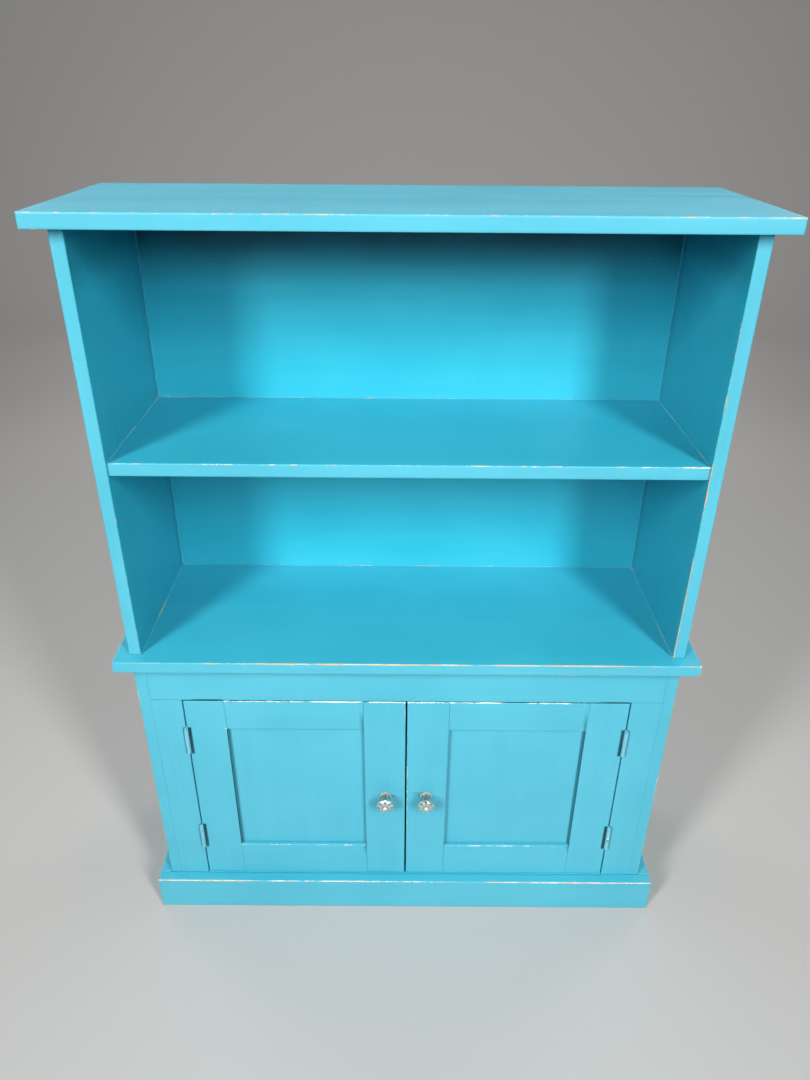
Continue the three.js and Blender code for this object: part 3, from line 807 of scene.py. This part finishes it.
left_x, right_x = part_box("upper_side_left")[1].x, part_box("upper_side_right")[0].x
back_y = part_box("upper_back_panel")[0].y
shelf_lo, shelf_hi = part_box("middle_shelf")
UP, FORWARD = (0, 0, 1), (0, -1, 0)
for bay, floor_z, roof_z, front_y in (
    ("upper", shelf_hi.z, ROOF_Z, shelf_lo.y),
    ("lower", counter_hi.z, shelf_lo.z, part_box("upper_side_left")[0].y),
):
    front_y += BEAD_FRONT
    start, end = (left_x, back_y, floor_z), (right_x, back_y, floor_z)
    bead(bay + "_bay_back_bead", start, end, UP, FORWARD, BACK_WORN)
    for side, x, across in (("left", left_x, (1, 0, 0)), ("right", right_x, (-1, 0, 0))):
        name = bay + "_bay_" + side
        corner = (x, back_y, floor_z)
        bead(name + "_floor_bead", (x, front_y, floor_z), corner, UP, across, FLOOR_WORN)
        bead(name + "_corner_bead", corner, (x, back_y, roof_z), across, FORWARD, CORNER_WORN)


# ---- Paint bridging the joints ----
JOINT_OVERLAP = 0.12 * MM
JOINT_DEPTH = 1.2 * MM
JOINT_STEP = 9 * MM
JOINT_WAVES, JOINT_SPREAD = 60, 0.6
# How far the paint is sunk below the boards' front faces.
SIDE_SINK, RAIL_SINK, DOOR_SINK = 0.06 * MM, 0.12 * MM, 0.16 * MM


def joint_paint(name, body, start, end, gap, sink):
    """Paint that fills a joint along start to end between two boards, sink below their front faces."""
    start, end = Vector(start), Vector(end)
    upright = abs((end - start).z) > abs((end - start).x)
    across = Vector((1, 0, 0)) if upright else Vector((0, 0, 1))
    across *= gap / 2 + JOINT_OVERLAP
    rows = []
    for place in steps_along(start, end, JOINT_STEP):
        depth = sink * (1 + JOINT_SPREAD * noise.noise(place * JOINT_WAVES))
        section = [(-1, depth), (1, depth), (1, JOINT_DEPTH), (-1, JOINT_DEPTH)]
        rows.append([place + across * a + Vector((0, d, 0)) for a, d in section])
    values = {"tone": 0.1, "fade": FACE_CHALK_AND_SHEEN, "wear": 0.1, "soil": 0.1}
    piece = mesh_piece(name + "_joint_paint", bar(rows), PAINT["z"], **values)
    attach(piece, body)


for side in ("left", "right"):
    stile_lo, stile_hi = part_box("face_stile_" + side)
    side_lo, side_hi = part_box("base_side_" + side)
    outer = stile_lo.x if side == "left" else stile_hi.x
    inner = side_hi.x if side == "left" else side_lo.x
    x, gap = (outer + inner) / 2, abs(outer - inner)
    front_y = max(stile_lo.y, side_lo.y)
    foot, head = (x, front_y, plinth_hi.z), (x, front_y, min(rail_hi.z, side_hi.z))
    joint_paint("base_" + side, "carcass", foot, head, gap, SIDE_SINK)
    z, gap = (stile_hi.z + rail_lo.z) / 2, rail_lo.z - stile_hi.z
    start, end = (stile_lo.x, front_y, z), (stile_hi.x, front_y, z)
    joint_paint("rail_" + side, "carcass", start, end, gap, RAIL_SINK)
    for rail in ("top", "bottom"):
        door_rail = "door_" + side + "_" + rail + "_rail"
        lo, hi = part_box(door_rail)
        for stile, rail_end in (("left", lo.x), ("right", hi.x)):
            kind = "outer" if stile == side else "inner"
            door_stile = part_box("door_" + side + "_" + kind + "_stile")
            edge = door_stile[1].x if stile == "left" else door_stile[0].x
            x, gap = (edge + rail_end) / 2, abs(edge - rail_end)
            start, end = (x, lo.y, lo.z), (x, lo.y, hi.z)
            joint_paint(door_rail + "_" + kind, "door_" + side, start, end, gap, DOOR_SINK)


# ---- Hinges ----
CHIP_RADIUS = 2.2 * MM
CHIP_REACH = 1.2  # of its radius
CHIP_SLICES = range(-4, 2)  # in radii above the chip
PIT_BELOW = 2  # radii
CHIP_PROUD, CHIP_ABOVE = 2 * MM, 3 * MM  # its place before the pin and above the pin's middle
HINGE_WORN, CHIP_WORN = 0.16, 1.2


def plain_copy(node, name, material, ease, chip=None):
    """A copy of a CAD node with eased edges and, at chip, a spot of bare primer above a dark pit."""
    bm = copied(node)
    ease_edges(bm, long_corners(bm), ease)
    wear, soil = HINGE_WORN, 0.0
    if chip:
        for step in CHIP_SLICES:
            slice_at(bm, chip + Vector((0, 0, CHIP_RADIUS * step)), (0, 0, 1))
        places = np.array([v.co for v in bm.verts])
        pit = chip - Vector((0, 0, CHIP_RADIUS * PIT_BELOW))
        by_chip, by_pit = (
            np.linalg.norm(places - np.array(spot), axis=1) < CHIP_RADIUS * CHIP_REACH
            for spot in (chip, pit)
        )
        wear = np.maximum(wear, CHIP_WORN * by_chip)
        soil = 1.0 * by_pit
    piece = mesh_piece(name, bm, material, tone=0.2, fade=0.1, wear=wear, soil=soil)
    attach(piece, frame["nodes"][node]["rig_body"])
    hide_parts(node)


pin_lo, pin_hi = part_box("hinge_right_bottom_pin")
pin_middle = (pin_lo + pin_hi) / 2
CHIP = Vector((pin_middle.x, pin_lo.y - CHIP_PROUD, pin_middle.z + CHIP_ABOVE))
for node in sorted(frame["nodes"]):
    if node.endswith(("_leaf", "_pin")):
        chip = CHIP if node.startswith("hinge_right_bottom") else None
        plain_copy(node, node + "_painted", PAINT["hinge"], HINGE_EASE, chip)
    elif "_screw" in node:
        materials = frame["nodes"][node].data.materials
        materials.clear()
        materials.append(NICKEL if node.startswith("knob") else STEEL)

# ---- Glass knobs ----
KNOB_SIDES = 16
FLAT_SHARE = math.cos(math.tau / KNOB_SIDES)  # an octagon's flat against its corner
FLUTE_SHARE = 0.91  # a flute's hollow against its ridge
# Each ring is (share of the knob's length, radius as a share of the crown's corner, cross-section,
# painted shade between the ridges, painted shade on the ridges). The crown has a ridge on either side.
KNOB_RINGS = [
    (0.000, 0.64, "round", 0.1, 0.1),
    (0.018, 0.70, "round", 0.0, 0.0),
    (0.060, 0.715, "round", 0.0, 0.0),
    (0.095, 0.69, "round", 0.05, 0.05),
    (0.125, 0.655, "round", 0.30, 0.30),
    (0.165, 0.635, "fluted", 0.75, 0.95),
    (0.240, 0.665, "fluted", 0.30, 0.65),
    (0.340, 0.745, "ridged", 0.25, 0.70),
    (0.770, 0.975, "ridged", 0.20, 0.55),
    (0.795, 1.000, "ridged", 0.0, 0.05),
    (0.850, 1.000, "ridged", 0.0, 0.05),
    (0.868, 0.975, "ridged", 0.15, 0.60),
    (0.950, 0.72, "turned", 0.45, 0.70),
    (1.000, 0.52, "ridged", 0.30, 0.50),
]
KNOB_BORE = 0.152  # its radius, as a share of the crown's corner
# Painted shade in the screw's hole, at the door and at the front round the screw head.
BORE_DARK_BACK, BORE_DARK_FRONT = 0.5, 0.95
FACET_ANGLE = math.radians(12)
TOP_SHADE = 0.35  # how much darker the crown's upper facets are than those at its sides
PEACH_GLINT_SHARE = 0.13  # of the length, from the door, that the painted peach glint colours
PEACH_GLINT_SHOWN = 0.85

# How far out the even and the odd vertices of each kind of ring lie.
SECTIONS = {
    "round": (1.0, 1.0),
    "fluted": (1.0, FLUTE_SHARE),
    "ridged": (1.0, FLAT_SHARE),
    "turned": (FLAT_SHARE, 1.0),
}


def knob_ring(bm, centre, along, radius, kind):
    verts = []
    for k in range(KNOB_SIDES):
        r = radius * SECTIONS[kind][k % 2]
        turn = math.tau * k / KNOB_SIDES
        verts.append(bm.verts.new(centre + Vector((r * math.cos(turn), along, r * math.sin(turn)))))
    return verts


def knob(side):
    """A pressed glass knob, octagonal in the crown, with a hole through it for its screw."""
    node = "knob_" + side + "_glass"
    lo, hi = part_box(node)
    length = hi.y - lo.y
    crown = (hi.x - lo.x) / 2
    centre = Vector(((lo.x + hi.x) / 2, hi.y, (lo.z + hi.z) / 2))
    upper = [max(0.0, math.sin(math.tau * k / KNOB_SIDES)) for k in range(KNOB_SIDES)]
    bore_back = (0.0, KNOB_BORE, "round", BORE_DARK_BACK, BORE_DARK_BACK)
    bore_front = (1.0, KNOB_BORE, "round", BORE_DARK_FRONT, BORE_DARK_FRONT)
    bm = bmesh.new()
    rings, kinds, tones, peach_glint = [], [], [], []
    for share, radius, kind, between, ridge in (bore_back, *KNOB_RINGS, bore_front):
        rings.append(knob_ring(bm, centre, -length * share, crown * radius, kind))
        kinds.append(kind)
        # Painted shade from the table, deeper on the crown's upper facets, and the painted peach glint near
        # the door.
        shade = TOP_SHADE if kind == "ridged" and share < 1 else 0.0
        shown = PEACH_GLINT_SHOWN if share < PEACH_GLINT_SHARE and radius > KNOB_BORE else 0.0
        tones += [min(1.0, (ridge, between)[k % 2] + shade * upper[k]) for k in range(KNOB_SIDES)]
        peach_glint += [shown * u for u in upper]
    for i, ring in enumerate(rings):
        after = rings[(i + 1) % len(rings)]
        crossed = {kinds[i], kinds[(i + 1) % len(rings)]} == {"ridged", "turned"}
        for k in range(KNOB_SIDES):
            m = (k + 1) % KNOB_SIDES
            if not crossed:
                bm.faces.new((ring[k], ring[m], after[m], after[k]))
            elif (k % 2 == 0) == (kinds[i] == "ridged"):
                bm.faces.new((ring[k], ring[m], after[m]))
                bm.faces.new((ring[k], after[m], after[k]))
            else:
                bm.faces.new((ring[k], ring[m], after[k]))
                bm.faces.new((ring[m], after[m], after[k]))
    bmesh.ops.recalc_face_normals(bm, faces=bm.faces)
    piece = mesh_piece(node + "_faceted", bm, GLASS, tone=np.array(tones), fade=np.array(peach_glint))
    piece.data.set_sharp_from_angle(angle=FACET_ANGLE)
    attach(piece, "door_" + side)
    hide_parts(node)


knob("left")
knob("right")

# ---- Floor, light and camera ----
PALE_FLOOR = {"Base Color": (0.50, 0.49, 0.475, 1), "Roughness": 0.8}
WORLD_COLOUR, WORLD_STRENGTH = (0.95, 0.97, 1.0, 1), 0.06
STUDIO_RADIUS = 6.5
STUDIO_COVE = 2.2
STUDIO_HEIGHT = 3.6
STUDIO_SIDES = 96
COVE_STEP = 6  # degrees


def studio_profile():
    """(radius, height) of the round studio's floor, cove and wall."""
    flat = STUDIO_RADIUS - STUDIO_COVE
    turns = [math.radians(a) for a in range(0, 91, COVE_STEP)]
    cove = [(flat + STUDIO_COVE * math.sin(t), STUDIO_COVE * (1 - math.cos(t))) for t in turns]
    return [(flat / 2, 0), *cove, (STUDIO_RADIUS, STUDIO_HEIGHT)]


profile = studio_profile()
verts = [(0, 0, 0)]
faces = []
for radius, height in profile:
    for k in range(STUDIO_SIDES):
        turn = math.tau * k / STUDIO_SIDES
        verts.append((radius * math.cos(turn), radius * math.sin(turn), height))
for k in range(STUDIO_SIDES):
    after = (k + 1) % STUDIO_SIDES
    faces.append((0, 1 + k, 1 + after))
    for ring in range(len(profile) - 1):
        low, high = 1 + ring * STUDIO_SIDES, 1 + (ring + 1) * STUDIO_SIDES
        faces.append((low + k, high + k, high + after, low + after))
mesh = bpy.data.meshes.new("studio")
mesh.from_pydata(verts, [], faces)
mesh.polygons.foreach_set("use_smooth", [True] * len(faces))
mesh.materials.append(Nodes("pale_floor").finish(PALE_FLOOR))
floor = bpy.data.objects.new("studio", mesh)
bpy.context.scene.collection.objects.link(floor)

world = bpy.data.worlds.new("studio")
bpy.context.scene.world = world
world.use_nodes = True
background = world.node_tree.nodes["Background"]
background.inputs["Color"].default_value = WORLD_COLOUR
background.inputs["Strength"].default_value = WORLD_STRENGTH


def softbox(name, place, aim, width, height, power, spread=180):
    """A rectangular light at place that shines at aim, with power in watts and spread in degrees."""
    data = bpy.data.lights.new(name, "AREA")
    data.shape = "RECTANGLE"
    data.size, data.size_y = width, height
    data.energy = power
    data.spread = math.radians(spread)
    lamp = bpy.data.objects.new(name, data)
    lamp.location = place
    lamp.rotation_euler = (Vector(aim) - Vector(place)).to_track_quat("-Z", "Y").to_euler()
    lamp.visible_camera = False
    bpy.context.scene.collection.objects.link(lamp)


MIDDLE_OF_BODY = (0, 0, 0.6)
softbox("window_left", (-1.75, -2.45, 2.3), MIDDLE_OF_BODY, 0.55, 1.55, 25.0, 90)
softbox("window_right", (1.45, -2.5, 2.3), MIDDLE_OF_BODY, 0.48, 1.55, 24.0, 90)
softbox("ceiling", (0, 0.3, 3.0), (0, 0.25, 0), 2.6, 1.6, 21.5)
softbox("backdrop", (0, 2.6, 2.8), (0, 5.5, 0.6), 4.0, 0.8, 60)
softbox("rear_left", (-2.6, 2.4, 2.1), (0, 0, 0.55), 1.6, 1.3, 9, 100)
softbox("rear_right", (2.6, 2.4, 2.1), (0, 0, 0.55), 1.6, 1.3, 9, 100)
softbox("front_wall", (0, -2.9, 3.0), (0, -6.2, 0.9), 4.0, 0.8, 26)

# The camera fitted to the photograph's viewing angle.
CAMERA_PLACE = (-0.00566, -1.12171, 1.31083)
CAMERA_TURN = (60.8337, -0.38496, 0.14528)  # degrees
CAMERA_LENS, CAMERA_SENSOR = 27.5, 36  # millimetres
camera = bpy.data.objects.new("camera", bpy.data.cameras.new("camera"))
camera.location = CAMERA_PLACE
camera.rotation_euler = [math.radians(a) for a in CAMERA_TURN]
camera.data.lens = CAMERA_LENS
camera.data.sensor_width = CAMERA_SENSOR
camera.data.sensor_fit = "AUTO"
camera.data.dof.use_dof = False
bpy.context.scene.collection.objects.link(camera)
bpy.context.scene.camera = camera
bpy.context.scene.view_settings.view_transform = "Standard"
